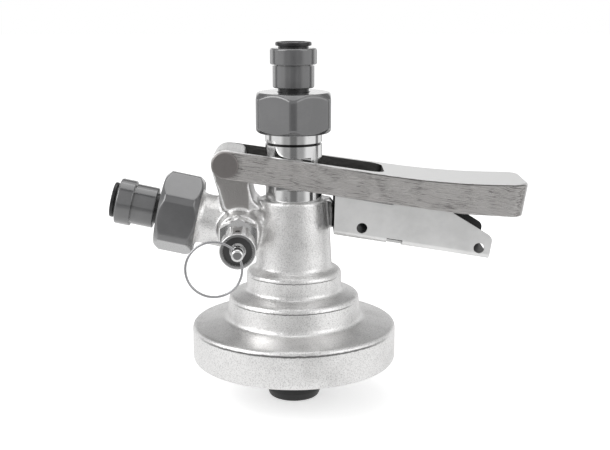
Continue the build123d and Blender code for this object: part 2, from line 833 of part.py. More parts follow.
with BuildPart() as latch:
    channel_end = lever_side.from_local_coords(Vector(latch_front - latch_overcut, 0, 0))
    channel_start = Plane(channel_end, x_dir=(0, 1, 0), z_dir=lever_axis)
    with BuildSketch(channel_start) as channel:
        with BuildLine():
            outline(
                (-latch_half_width, latch_eye_r + 1.0),
                (-latch_half_width, -latch_depth, latch_bend_r),
                (latch_half_width, -latch_depth, latch_bend_r),
                (latch_half_width, latch_eye_r + 1.0),
                (latch_half_inside, latch_eye_r + 1.0),
                (latch_half_inside, -latch_depth + latch_sheet, latch_bend_r - latch_sheet),
                (-latch_half_inside, -latch_depth + latch_sheet, latch_bend_r - latch_sheet),
                (-latch_half_inside, latch_eye_r + 1.0),
            )
        make_face()
    extrude(channel.sketch, amount=latch_back - latch_front + 2 * latch_overcut)
    with BuildSketch(lever_side.offset(-grip_half_width)) as latch_side:
        with BuildLine():
            outline(
                (latch_front, -latch_depth - latch_sheet),
                (latch_back, -latch_depth - latch_sheet),
                (latch_back, -latch_depth + latch_tail_height, 2.6),
                (latch_back - latch_tail_slope, -latch_depth + latch_wall_height, 3.0),
                (latch_pin_along - latch_eye_r + sliding_gap, -latch_depth + latch_wall_height),
                (latch_pin_along - latch_eye_r + sliding_gap, -arm_bottom - sliding_gap),
                (latch_front - latch_front_lean, -arm_bottom - sliding_gap),
            )
        make_face()
        with Locations((latch_pin_along, 0)):
            Circle(latch_eye_r)
    extrude(latch_side.sketch, amount=2 * grip_half_width, mode=Mode.INTERSECT)
    front_hole = (latch_front + front_hole_along, -latch_depth + front_hole_up)
    back_hole = (latch_back - back_hole_along, -latch_depth + back_hole_up)
    for along, height in (front_hole, back_hole):
        cross_rod(along, height, latch_hole_r, grip_half_width, mode=Mode.SUBTRACT)
    cross_rod(latch_pin_along, 0, latch_pin_r + running, grip_half_width, mode=Mode.SUBTRACT)
    for side in (-1, 1):
        slab(
            lever_side,
            (latch_slot_start, -latch_depth - latch_sheet),
            (latch_slot_end, -latch_depth - latch_sheet),
            (latch_slot_end, -latch_depth + latch_slot_rise),
            (latch_slot_start, -latch_depth + latch_slot_rise),
            start=side * (latch_half_width - 3.5),
            end=side * grip_half_width,
            mode=Mode.SUBTRACT,
        )
finish(latch, "latch")

with BuildPart() as latch_pin:
    cross_rod(latch_pin_along, 0, latch_pin_r, latch_half_width)
finish(latch_pin, "latch_pin")

with BuildPart() as latch_spring:
    coil_r = latch_pin_r + sliding_gap + 2 * spring_wire_r
    coil_height = spring_pitch * spring_turns
    coil_centre = lever_side.from_local_coords(Vector(latch_pin_along, 0, coil_height / 2))
    coil_axis = Axis(coil_centre, (0, 1, 0))
    unturned = Edge.make_helix(spring_pitch, coil_height, coil_r, coil_centre, (0, 1, 0))
    start_spoke = (unturned @ 0 - coil_centre).normalized()
    wanted_spoke = lever_axis * cos(radians(spring_foot)) - lever_side.y_dir * sin(radians(spring_foot))
    turn_by = start_spoke.get_signed_angle(wanted_spoke, Vector(0, 1, 0))
    wound = unturned.rotate(coil_axis, turn_by)
    with BuildSketch(Plane(wound @ 0, z_dir=wound % 0)) as coil_wire:
        Circle(spring_wire_r)
    sweep(coil_wire.sketch, path=wound)
    rod(Plane(wound @ 0, z_dir=wound % 0), spring_wire_r, -spring_leg, 0)
    rod(Plane(wound @ 1, z_dir=wound % 1), spring_wire_r, 0, spring_arm)
finish(latch_spring, "latch_spring")
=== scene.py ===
"""Looks for a keg coupler: finishes for every piece, softened castings and the studio around them."""

import logging
import math
from collections.abc import Iterable, Sequence
from dataclasses import dataclass, field
from enum import Enum
from typing import Any

import bmesh
import bpy
from mathutils import Matrix, Vector


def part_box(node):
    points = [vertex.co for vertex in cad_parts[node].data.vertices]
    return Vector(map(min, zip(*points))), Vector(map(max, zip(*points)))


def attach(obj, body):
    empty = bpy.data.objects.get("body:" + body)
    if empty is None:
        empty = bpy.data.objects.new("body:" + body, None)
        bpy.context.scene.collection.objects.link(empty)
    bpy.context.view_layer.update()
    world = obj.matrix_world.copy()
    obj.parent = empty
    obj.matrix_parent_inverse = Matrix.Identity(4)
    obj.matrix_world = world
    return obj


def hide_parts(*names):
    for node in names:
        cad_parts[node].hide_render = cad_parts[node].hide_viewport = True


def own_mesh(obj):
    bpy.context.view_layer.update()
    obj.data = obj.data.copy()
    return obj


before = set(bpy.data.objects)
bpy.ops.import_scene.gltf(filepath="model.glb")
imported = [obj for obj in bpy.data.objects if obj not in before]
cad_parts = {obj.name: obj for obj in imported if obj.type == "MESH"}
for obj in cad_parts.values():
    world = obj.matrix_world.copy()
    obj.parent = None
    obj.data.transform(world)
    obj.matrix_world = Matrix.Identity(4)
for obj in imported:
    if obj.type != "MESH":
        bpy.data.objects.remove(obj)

log = logging.getLogger("keg_coupler")
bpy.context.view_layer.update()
NODES: dict[str, bpy.types.Object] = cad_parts
WHITE = (1.0, 1.0, 1.0, 1.0)
BLACK = (0.0, 0.0, 0.0, 1.0)
Triple = tuple[float, float, float]
Tone = Triple
Place = Triple


# ---------------------------------------------------------------------------
# Shader expressions
# ---------------------------------------------------------------------------


class Graph:
    """The node tree of one material or of the world, with a method that adds any node."""

    def __init__(self, owner: bpy.types.ID) -> None:
        """Start an empty tree.

        Args:
            owner: The material or world that holds the tree.
        """
        self.owner = owner
        owner.use_nodes = True
        self.tree = owner.node_tree
        self.tree.nodes.clear()

    def node(self, kind: str, settings: dict[str, Any] | None = None, **inputs: Any) -> bpy.types.Node:
        """Add a node, set it and fill its sockets.

        Args:
            kind: The node's type, such as ShaderNodeTexNoise.
            settings: Attributes that are set before the sockets.
            inputs: Socket values or links, by name with underscores for spaces.

        Returns:
            The new node.
        """
        made = self.tree.nodes.new(kind)
        for key, value in (settings or {}).items():
            setattr(made, key, value)
        for key, value in inputs.items():
            self.feed(made.inputs[key.replace("_", " ")], value)
        return made

    def feed(self, socket: bpy.types.NodeSocket, value: Any) -> None:
        """Link or set one input socket.

        Args:
            socket: The input.
            value: A Value, an output socket or a constant.
        """
        if isinstance(value, Value):
            value = value.out
        if isinstance(value, bpy.types.NodeSocket):
            self.tree.links.new(value, socket)
        else:
            socket.default_value = value

    def place(self) -> bpy.types.NodeSocket:
        """Return Object coordinates, in metres in the part's own frame."""
        return self.node("ShaderNodeTexCoord").outputs["Object"]

    def stretched(
        self, scale: Sequence[float], turn: Sequence[float] = (0.0, 0.0, 0.0)
    ) -> bpy.types.NodeSocket:
        """Turn Object coordinates and then stretch them.

        Args:
            scale: Stretch along each axis, per metre.
            turn: Rotation in radians about each axis.

        Returns:
            The stretched coordinates.
        """
        point = {"vector_type": "POINT"}
        turned = self.node("ShaderNodeMapping", point, Vector=self.place(), Rotation=turn)
        made = self.node("ShaderNodeMapping", point, Vector=turned.outputs[0], Scale=scale)
        return made.outputs["Vector"]

    def split(self, vector: bpy.types.NodeSocket) -> tuple["Value", "Value", "Value"]:
        """Return the three parts of a vector."""
        parts = self.node("ShaderNodeSeparateXYZ", None, Vector=vector)
        return Value(self, parts.outputs[0]), Value(self, parts.outputs[1]), Value(self, parts.outputs[2])

    def blend(self, amount: "Value", first: bpy.types.Node, second: bpy.types.Node) -> bpy.types.Node:
        """Mix two shaders.

        Args:
            amount: 0 gives the first and 1 the second.
            first: A shader node.
            second: A shader node.

        Returns:
            The mix, as a shader node.
        """
        made = self.node("ShaderNodeMixShader")
        self.feed(made.inputs[0], amount)
        self.feed(made.inputs[1], first.outputs[0])
        self.feed(made.inputs[2], second.outputs[0])
        return made

    def noise(self, where: Any, scale: float, detail: float = 3.0, rough: float = 0.5) -> "Value":
        """Read a noise.

        Args:
            where: Where it is read.
            scale: Blobs per unit.
            detail: Octaves.
            rough: Strength of the finer octaves.

        Returns:
            A value around 0.5.
        """
        octaves = {"Detail": detail, "Roughness": rough}
        made = self.node("ShaderNodeTexNoise", None, Vector=where, Scale=scale, **octaves)
        return Value(self, made.outputs["Fac"])

    def towards(self, axis: int, sign: float = 1.0) -> "Value":
        """Return how far the surface faces along X, Y or Z (0, 1 or 2), from -1 to 1."""
        return self.split(self.node("ShaderNodeNewGeometry").outputs["Normal"])[axis] * sign

    def facing(self, axis: int) -> "Value":
        """Return how squarely the surface faces along X, Y or Z, either way, from 0 to 1."""
        return abs(self.towards(axis))

    def inward(self) -> "Value":
        """Return 1 on walls that face the plane down the middle of the part."""
        side = self.split(self.place())[1]
        return (self.towards(1) * side * -1.0).step(0.0004, 0.0016)

    def mix(self, amount: Any, first: Any, second: Any) -> bpy.types.NodeSocket:
        """Mix two colours.

        Args:
            amount: 0 gives the first and 1 the second.
            first: A colour or a colour socket.
            second: A colour or a colour socket.

        Returns:
            The mixed colour.
        """
        made = self.node("ShaderNodeMix", {"data_type": "RGBA"})
        self.feed(made.inputs[0], amount)
        self.feed(made.inputs[6], colour(first))
        self.feed(made.inputs[7], colour(second))
        return made.outputs[2]

    def bump(self, height: "Value", distance: float, strength: float = 1.0) -> bpy.types.NodeSocket:
        """Return a normal pushed by a height map, with its depth in metres and how much shows."""
        made = self.node("ShaderNodeBump", None, Height=height, Strength=strength, Distance=distance)
        return made.outputs["Normal"]

    def surface(self, base: Any, rough: Any, metallic: float, **extra: Any) -> bpy.types.Material:
        """Close the tree with one principled shader.

        Args:
            base: Base colour or a link.
            rough: Roughness or a link.
            metallic: 1 for metal.
            extra: More sockets.

        Returns:
            The finished material.
        """
        shader = self.node("ShaderNodeBsdfPrincipled", None, Base_Color=colour(base), Roughness=rough)
        shader.inputs["Metallic"].default_value = metallic
        for key, value in extra.items():
            self.feed(shader.inputs[key.replace("_", " ")], value)
        self.node("ShaderNodeOutputMaterial", None, Surface=shader.outputs[0])
        return self.owner


class Value:
    """A shader value with arithmetic, which adds Math nodes."""

    def __init__(self, graph: Graph, out: bpy.types.NodeSocket) -> None:
        """Wrap an output socket of a tree."""
        self.graph = graph
        self.out = out

    def _math(self, operation: str, *terms: Any) -> "Value":
        """Add one Math node.

        Args:
            operation: The node's operation.
            terms: Its inputs in order.

        Returns:
            The result.
        """
        made = self.graph.node("ShaderNodeMath", {"operation": operation})
        for socket, term in zip(made.inputs, terms):
            self.graph.feed(socket, term)
        return Value(self.graph, made.outputs[0])

    def __add__(self, other: Any) -> "Value":
        """Return self + other."""
        return self._math("ADD", self, other)

    __radd__ = __add__

    def __sub__(self, other: Any) -> "Value":
        """Return self - other."""
        return self._math("SUBTRACT", self, other)

    def __rsub__(self, other: Any) -> "Value":
        """Return other - self."""
        return self._math("SUBTRACT", other, self)

    def __mul__(self, other: Any) -> "Value":
        """Return self * other."""
        return self._math("MULTIPLY", self, other)

    __rmul__ = __mul__

    def __truediv__(self, other: Any) -> "Value":
        """Return self / other."""
        return self._math("DIVIDE", self, other)

    def __pow__(self, other: Any) -> "Value":
        """Return self to a power."""
        return self._math("POWER", self, other)

    def __neg__(self) -> "Value":
        """Return the value with its sign turned."""
        return self._math("SUBTRACT", 0.0, self)

    def __abs__(self) -> "Value":
        """Return the size without the sign."""
        return self._math("ABSOLUTE", self)

    def step(self, low: float, high: float) -> "Value":
        """Ramp smoothly from 0 to 1.

        Args:
            low: Start of the ramp, below which the result is 0.
            high: End of the ramp, above which the result is 1.

        Returns:
            The ramp.
        """
        made = self.graph.node("ShaderNodeMapRange", {"interpolation_type": "SMOOTHSTEP"}, Value=self)
        made.inputs["From Min"].default_value = low
        made.inputs["From Max"].default_value = high
        return Value(self.graph, made.outputs[0])

    def near(self, centre: float, inner: float, outer: float) -> "Value":
        """Return 1 within inner of a centre and 0 beyond outer."""
        return 1.0 - abs(self - centre).step(inner, outer)

    def band(self, start: float, full: float, fade: float, end: float) -> "Value":
        """Return 1 from full to fade, and 0 before start and past end."""
        return self.step(start, full) * (1.0 - self.step(fade, end))


def colour(value: Any) -> Any:
    """Give a colour its fourth number.

    Args:
        value: Three numbers, four numbers or a link.

    Returns:
        Four numbers, or the link as it is.
    """
    if isinstance(value, (tuple, list)) and len(value) == 3:
        return (*value, 1.0)
    return value


def shaded(tone: Tone, share: float, lift: float = 0.0) -> Tone:
    """Return a share of a colour, with the same lift on each of its numbers and 1 at most."""
    return tuple(min(1.0, share * part + lift) for part in tone)


# ---------------------------------------------------------------------------
# Finishes
# ---------------------------------------------------------------------------


@dataclass(frozen=True)
class CastFinish:
    """Plated casting: satin skin of the mould, with turned rings where the underside is machined."""

    tone: Tone = (0.86, 0.855, 0.85)
    dull: Tone = (0.42, 0.416, 0.41)
    # Tone of the painted shade lines along the front of the step edges.
    line_mark: Tone = (0.13, 0.13, 0.13)
    # Height, least radius and width of each painted shade line, a dark line painted round the front of a step
    # edge.
    shade_lines: tuple[Triple, ...] = (
        (0.0130, 0.0384, 0.0010),
        (0.0243, 0.0244, 0.0006),
        (0.0340, 0.0177, 0.0005),
    )
    shade_line_wander: float = 0.0008
    ground: Tone = (0.40, 0.388, 0.38)
    ground_before: float = -0.0165
    ground_above: float = 0.0585
    machined: Tone = (0.62, 0.62, 0.62)
    machined_below: float = 0.0128
    ring_scale: float = 3200.0
    # Painted shade on the catch rib beside the tower, where it sits in shade by the latch.
    catch_shade: Tone = (0.05, 0.048, 0.047)
    catch_from: float = 0.0146
    catch_above: float = 0.0505
    blotch_scale: float = 70.0
    skin_scale: float = 620.0
    pit_scale: float = 1700.0
    grain_scale: float = 2300.0
    skin_depth: float = 0.00022
    rough: float = 0.24
    soft: float = 0.0005

    def build(self, name: str) -> bpy.types.Material:
        """Make the material.

        Args:
            name: Its name.

        Returns:
            The material.
        """
        g = Graph(bpy.data.materials.new(name))
        where = g.place()
        x, y, z = g.split(where)
        radius = (x * x + y * y) ** 0.5
        blotch = g.noise(where, self.blotch_scale, 5.0, 0.6)
        skin = g.noise(where, self.skin_scale, 3.0, 0.6)
        pits = g.noise(where, self.pit_scale, 2.0)
        grain = g.noise(where, self.grain_scale, 2.0, 0.6)
        outward = g.node("ShaderNodeCombineXYZ", None, X=radius * self.ring_scale)
        rings = g.noise(outward.outputs[0], 1.0, 2.0)

        speckle = 0.55 * grain.step(0.44, 0.70) + 0.30 * blotch.step(0.45, 0.75)
        cast = g.mix(speckle, self.tone, self.dull)
        # Painted shade: dark lines along the front of the step edges.
        line = self._paint_shade_lines(g, y, z, radius)
        cast = g.mix(line, cast, self.line_mark)
        ear = 1.0 - x.step(self.ground_before - self.soft, self.ground_before)
        ear = ear * z.step(self.ground_above - self.soft, self.ground_above) * g.facing(1).step(0.95, 0.985)
        cast = g.mix(ear, cast, self.ground)
        under = g.towards(2, -1.0).step(0.93, 0.98)
        under = under * (1.0 - z.step(self.machined_below, self.machined_below + 0.0007))
        # Painted shade: the catch rib beside the tower is darkened.
        catch = x.step(self.catch_from - 0.0002, self.catch_from)
        catch = catch * z.step(self.catch_above - self.soft, self.catch_above)
        base = g.mix(catch, g.mix(under, cast, self.machined), self.catch_shade)

        rough = self.rough + 0.10 * blotch + 0.10 * skin - 0.10 * under
        moulded = skin + 0.9 * pits + 0.7 * grain - 0.6 * line
        height = moulded * (1.0 - under) + 0.25 * rings * under
        return g.surface(base, rough, 1.0, Normal=g.bump(height, self.skin_depth, 0.5))

    def _paint_shade_lines(self, g: Graph, y: Value, z: Value, radius: Value) -> Value:
        """Paint dark lines of shade round the front of the casting, along the edges of its steps.

        Args:
            g: The material's tree.
            y: Depth on the part.
            z: Height on the part.
            radius: Distance from the probe's axis.

        Returns:
            1 on a line and 0 elsewhere.
        """
        uneven = z + self.shade_line_wander * (g.noise(g.place(), 420.0, 4.0, 0.7) - 0.5)
        forward = (-y / (radius + 0.0001)).step(0.35, 0.80)
        lines = [
            uneven.near(height, 0.05 * width, 0.6 * width) * radius.step(reach, reach + 0.0003)
            for height, reach, width in self.shade_lines
        ]
        return sum(lines) * forward


@dataclass(frozen=True)
class BrushedFinish:
    """Lever steel: brushed lines along its sides, a painted highlight on its top, painted shade along its
    upper edges and painted shade on its inner walls.
    """

    side: Tone = (0.50, 0.487, 0.478)
    streak: Tone = (0.17, 0.163, 0.16)
    # Painted shade along the upper rounded edges of the grip.
    edge_shade: Tone = (0.12, 0.118, 0.115)
    edge_from: float = 0.012
    # Painted highlight: the top is painted lighter than the sides.
    top: Tone = (0.84, 0.84, 0.835)
    # Painted shade on the inner walls, between the arms.
    inner_shade: Tone = (0.11, 0.108, 0.105)
    slope: float = math.radians(9.0)
    stretch: Triple = (70.0, 500.0, 2300.0)
    wave_scale: float = 95.0
    wave_height: float = 6.0
    depth: float = 0.00016

    def build(self, name: str) -> bpy.types.Material:
        """Make the material.

        Args:
            name: Its name.

        Returns:
            The material.
        """
        g = Graph(bpy.data.materials.new(name))
        wave = g.noise(g.place(), self.wave_scale, 2.0)
        bent = g.node("ShaderNodeVectorMath", {"operation": "ADD"})
        g.feed(bent.inputs[0], g.stretched(self.stretch, (0.0, -self.slope, 0.0)))
        g.feed(bent.inputs[1], g.node("ShaderNodeCombineXYZ", None, Z=wave * self.wave_height).outputs[0])
        coarse = g.noise(bent.outputs[0], 1.0, 3.0, 0.6)
        fine = g.noise(bent.outputs[0], 2.7, 2.0, 0.6)
        cloud = g.noise(g.place(), 160.0, 3.0)

        lines = coarse.near(0.5, 0.012, 0.060)
        side = g.mix(lines * (0.35 + 0.65 * cloud.step(0.35, 0.65)), self.side, self.streak)
        turned = g.facing(1)
        sideways = turned.step(0.35, 0.75)
        # Painted shade: a darker band where the edges turn between the top and the sides.
        edge = turned.band(0.55, 0.70, 0.93, 0.975) * g.towards(2).step(0.15, 0.30)
        edge = edge * g.split(g.place())[0].step(self.edge_from, self.edge_from + 0.018)
        # The top gets the painted highlight tone and the sides the brushed tone.
        outside = g.mix(edge, g.mix(sideways, self.top, side), self.edge_shade)
        # Painted shade on the walls that face the middle.
        base = g.mix(g.inward(), outside, self.inner_shade)

        rough = 0.26 + 0.16 * sideways + 0.10 * fine
        height = (0.5 * fine - 0.8 * lines) * (0.04 + 0.96 * sideways)
        return g.surface(base, rough, 1.0, Normal=g.bump(height, self.depth, 0.6))


@dataclass(frozen=True)
class TurnedFinish:
    """Turned or polished steel, with faint tool rings round one axis and painted shade in a groove at one
    height.

    The groove's usual height is far above the part, where nothing shows it.
    """

    tone: Tone = (0.72, 0.72, 0.72)
    # Painted shade of the groove.
    groove_shade: Tone = (0.03, 0.03, 0.03)
    rough: float = 0.08
    ring_scale: float = 2400.0
    ring_axis: int = 2
    smear_scale: float = 160.0
    depth: float = 0.000010
    groove_at: float = 1.0
    groove_half: float = 0.00046
    groove_soft: float = 0.00005

    def build(self, name: str) -> bpy.types.Material:
        """Make the material.

        Args:
            name: Its name.

        Returns:
            The material.
        """
        g = Graph(bpy.data.materials.new(name))
        scale = [60.0, 60.0, 60.0]
        scale[self.ring_axis] = self.ring_scale
        rings = g.noise(g.stretched(scale), 1.0, 3.0, 0.6)
        smear = g.noise(g.place(), self.smear_scale, 4.0, 0.6)
        rough = self.rough + 0.08 * smear.step(0.45, 0.8) + 0.04 * rings
        height = g.split(g.place())[2]
        # Painted shade: a dark band round the part at the groove's height.
        groove = height.near(self.groove_at, self.groove_half, self.groove_half + self.groove_soft)
        steel = g.mix(smear.step(0.4, 0.75), self.tone, shaded(self.tone, 0.88))
        base = g.mix(groove, steel, self.groove_shade)
        return g.surface(base, rough, 1.0, Normal=g.bump(rings, self.depth, 0.5))


@dataclass(frozen=True)
class SheetFinish:
    """Rolled stainless sheet: satin, with a grain along the latch and painted shade in its channel."""

    tone: Tone = (0.86, 0.86, 0.855)
    # Painted shade on the channel's inner walls and on the web's top.
    inner_shade: Tone = (0.06, 0.06, 0.06)
    web_edge: float = 0.0117
    slope: float = math.radians(9.0)
    stretch: Triple = (60.0, 1800.0, 1800.0)
    depth: float = 0.00003

    def build(self, name: str) -> bpy.types.Material:
        """Make the material.

        Args:
            name: Its name.

        Returns:
            The material.
        """
        g = Graph(bpy.data.materials.new(name))
        grain = g.noise(g.stretched(self.stretch, (0.0, -self.slope, 0.0)), 1.0, 3.0, 0.6)
        cloud = g.noise(g.place(), 60.0, 4.0, 0.6)
        sheet = g.mix(cloud.step(0.35, 0.7), self.tone, shaded(self.tone, 0.84))
        side = g.split(g.place())[1]
        # Painted shade: the web's top inside the channel and the inner walls are darkened.
        web = g.towards(2).step(0.5, 0.8) * side.near(0.0, self.web_edge, self.web_edge + 0.0003)
        base = g.mix(g.inward() + web, sheet, self.inner_shade)
        rough = 0.36 + 0.10 * grain + 0.08 * cloud
        return g.surface(base, rough, 1.0, Normal=g.bump(grain, self.depth, 0.35))


@dataclass(frozen=True)
class MouldedFinish:
    """Moulded plastic or rubber with a fine texture and the line where the halves of its mould meet."""

    tone: Tone = (0.12, 0.12, 0.125)
    rough: float = 0.45
    grain: float = 2600.0
    depth: float = 0.00002
    line_mark: float = 0.0
    parting_half: float = 0.00004
    shine: float = 0.5
    coat: float = 0.0

    def build(self, name: str) -> bpy.types.Material:
        """Make the material.

        Args:
            name: Its name.

        Returns:
            The material.
        """
        g = Graph(bpy.data.materials.new(name))
        fine = g.noise(g.place(), self.grain, 2.0)
        cloud = g.noise(g.place(), 140.0, 3.0)
        line = g.split(g.place())[1].near(0.0, self.parting_half, 4.0 * self.parting_half)
        base = g.mix(cloud.step(0.3, 0.75), self.tone, shaded(self.tone, 1.15, 0.003))
        rough = self.rough + 0.08 * fine - 0.05 * cloud
        normal = g.bump(fine + self.line_mark * line, self.depth, 0.5)
        return g.surface(
            base, rough, 0.0, Normal=normal, Specular_IOR_Level=self.shine, Coat_Weight=self.coat
        )


@dataclass(frozen=True)
class ValveFaceFinish:
    """Polished valve cap, with a dull sunk ring round its stem."""

    tone: Tone = (0.84, 0.84, 0.84)
    sunk: Tone = (0.10, 0.10, 0.10)
    rough: float = 0.10
    sunk_behind: float = -0.0010
    depth: float = 0.00002

    def build(self, name: str) -> bpy.types.Material:
        """Make the material.

        Args:
            name: Its name.

        Returns:
            The material.
        """
        g = Graph(bpy.data.materials.new(name))
        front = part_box("relief_cap")[0].y
        depth = g.split(g.place())[1] - front
        sunk = depth.step(self.sunk_behind, self.sunk_behind + 0.0002) * g.towards(1, -1.0).step(0.8, 0.95)
        fine = g.noise(g.place(), 1500.0, 3.0)
        rough = self.rough + 0.30 * sunk + 0.05 * fine
        base = g.mix(sunk, self.tone, self.sunk)
        return g.surface(base, rough, 1.0, Normal=g.bump(fine, self.depth, 0.4))


class Finish(Enum):
    """The object's finishes, one for each material slot."""

    cast_body = CastFinish()
    polished_steel = TurnedFinish(groove_at=0.08485)
    valve_face = ValveFaceFinish()
    brushed_lever = BrushedFinish()
    satin_sheet = SheetFinish()
    pin_steel = TurnedFinish(tone=(0.285, 0.268, 0.262), rough=0.38, ring_scale=500.0)
    spring_steel = TurnedFinish(tone=(0.44, 0.44, 0.45), rough=0.20, ring_scale=400.0)
    grey_plastic = MouldedFinish(tone=(0.092, 0.092, 0.095), rough=0.16, line_mark=4.0, shine=1.0, coat=1.0)
    black_plastic = MouldedFinish(tone=(0.010, 0.010, 0.011), rough=0.26)
    white_plastic = MouldedFinish(tone=(0.80, 0.80, 0.77), rough=0.35)
    black_rubber = MouldedFinish(tone=(0.013, 0.013, 0.013), rough=0.55, depth=0.00003)


class Wardrobe:
    """Builds each finish once and puts it on the pieces of its slot."""

    def __init__(self) -> None:
        """Build all the materials."""
        self.made: dict[str, bpy.types.Material] = {}
        for finish in Finish:
            self.made[finish.name] = finish.value.build(finish.name)

    def dress(self, piece: bpy.types.Object, finish: Finish) -> None:
        """Put a finish on a piece."""
        piece.data.materials.clear()
        piece.data.materials.append(self.made[finish.name])


# ---------------------------------------------------------------------------
# Sub-assemblies
# ---------------------------------------------------------------------------


@dataclass
class SubAssembly:
    """Pieces of one sub-assembly and the finish of each."""

    wardrobe: Wardrobe
    finishes: dict[str, Finish]

    def build(self) -> None:
        """Dress every solid and report it."""
        for name, finish in self.finishes.items():
            self.wardrobe.dress(NODES[name], finish)
            log.info("dressed %s in %s", name, finish.name)


@dataclass(frozen=True)
class Mould:
    """Turns a crisp solid into one with the soft edges and filled corners of a mould."""

    grain: float
    merge_gap: float = 0.000002

    def blank(self, name: str) -> bpy.types.Object:
        """Return a merged copy of a solid."""
        return merged(name, f"{name}_blank", self.merge_gap)

    def skin(self, blank: bpy.types.Object) -> bmesh.types.BMesh:
        """Wrap a blank in even faces and remove it.

        Args:
            blank: The merged copy, with any cuts as modifiers.

        Returns:
            The skin.
        """
        remesh = blank.modifiers.new("skin", "REMESH")
        remesh.mode = "VOXEL"
        remesh.voxel_size = self.grain
        graph = bpy.context.evaluated_depsgraph_get()
        made = bpy.data.meshes.new_from_object(blank.evaluated_get(graph))
        bpy.data.objects.remove(blank)
        shape = bmesh.new()
        shape.from_mesh(made)
        bpy.data.meshes.remove(made)
        return shape

    def ease(self, shape: bmesh.types.BMesh, verts: Iterable[bmesh.types.BMVert], passes: int) -> None:
        """Smooth some of a skin.

        Args:
            shape: The skin.
            verts: The corners that move.
            passes: How often.
        """
        moved = list(verts)
        axes = {"use_axis_x": True, "use_axis_y": True, "use_axis_z": True}
        for _ in range(passes):
            bmesh.ops.smooth_vert(shape, verts=moved, factor=0.5, **axes)


def placed(shape: bmesh.types.BMesh, name: str) -> bpy.types.Object:
    """Put a mesh in the scene, smooth shaded.

    Args:
        shape: The mesh, which is freed.
        name: The new object's name.

    Returns:
        The new object.
    """
    mesh = bpy.data.meshes.new(name)
    for face in shape.faces:
        face.smooth = True
    shape.to_mesh(mesh)
    shape.free()
    made = bpy.data.objects.new(name, mesh)
    bpy.context.scene.collection.objects.link(made)
    return made


def merged(name: str, copy: str, gap: float) -> bpy.types.Object:
    """Copy a solid and join its loose triangles.

    Args:
        name: The solid.
        copy: The new object's name.
        gap: How far apart the corners that are joined may be.

    Returns:
        The new object.
    """
    shape = bmesh.new()
    shape.from_mesh(NODES[name].data)
    bmesh.ops.remove_doubles(shape, verts=shape.verts, dist=gap)
    return placed(shape, copy)


@dataclass
class Casting(SubAssembly):
    """Body casting, whose edges and corners are eased as a mould leaves them."""

    finishes: dict[str, Finish] = field(
        default_factory=lambda: {
            "coupler_body": Finish.cast_body,
            "keg_gasket": Finish.black_rubber,
            "probe_ring_seal": Finish.black_rubber,
            "hinge_pin": Finish.pin_steel,
        }
    )
    mould: Mould = Mould(0.00062)
    edge_passes: int = 2
    branch_passes: int = 12
    branch_from: float = -0.0115
    branch_low: float = 0.037
    branch_high: float = 0.070

    def build(self) -> None:
        """Dress the solids and put the eased skin over the casting."""
        super().build()
        shape = self.mould.skin(self.mould.blank("coupler_body"))
        self.mould.ease(shape, shape.verts, self.edge_passes)
        self.mould.ease(shape, [vert for vert in shape.verts if self._on_branch(vert.co)], self.branch_passes)
        skin = placed(shape, "casting_skin")
        self.wardrobe.dress(skin, Finish.cast_body)
        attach(skin, "body")
        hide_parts("coupler_body")
        log.info("eased the casting: %d faces", len(skin.data.polygons))

    def _on_branch(self, place: Vector) -> bool:
        """Return whether a place is on the gas branch, the relief boss or the ear's foot."""
        return place.x < self.branch_from and self.branch_low < place.z < self.branch_high


# Where the gas nut seats on its branch, and how far the branch leans over from upright.
GAS_SEAT: Place = (-0.0363, 0.0, 0.0559)
GAS_LEAN = math.radians(78.0)


class Use(Enum):
    """What a hose fitting carries."""

    BEER = "beer"
    GAS = "gas"


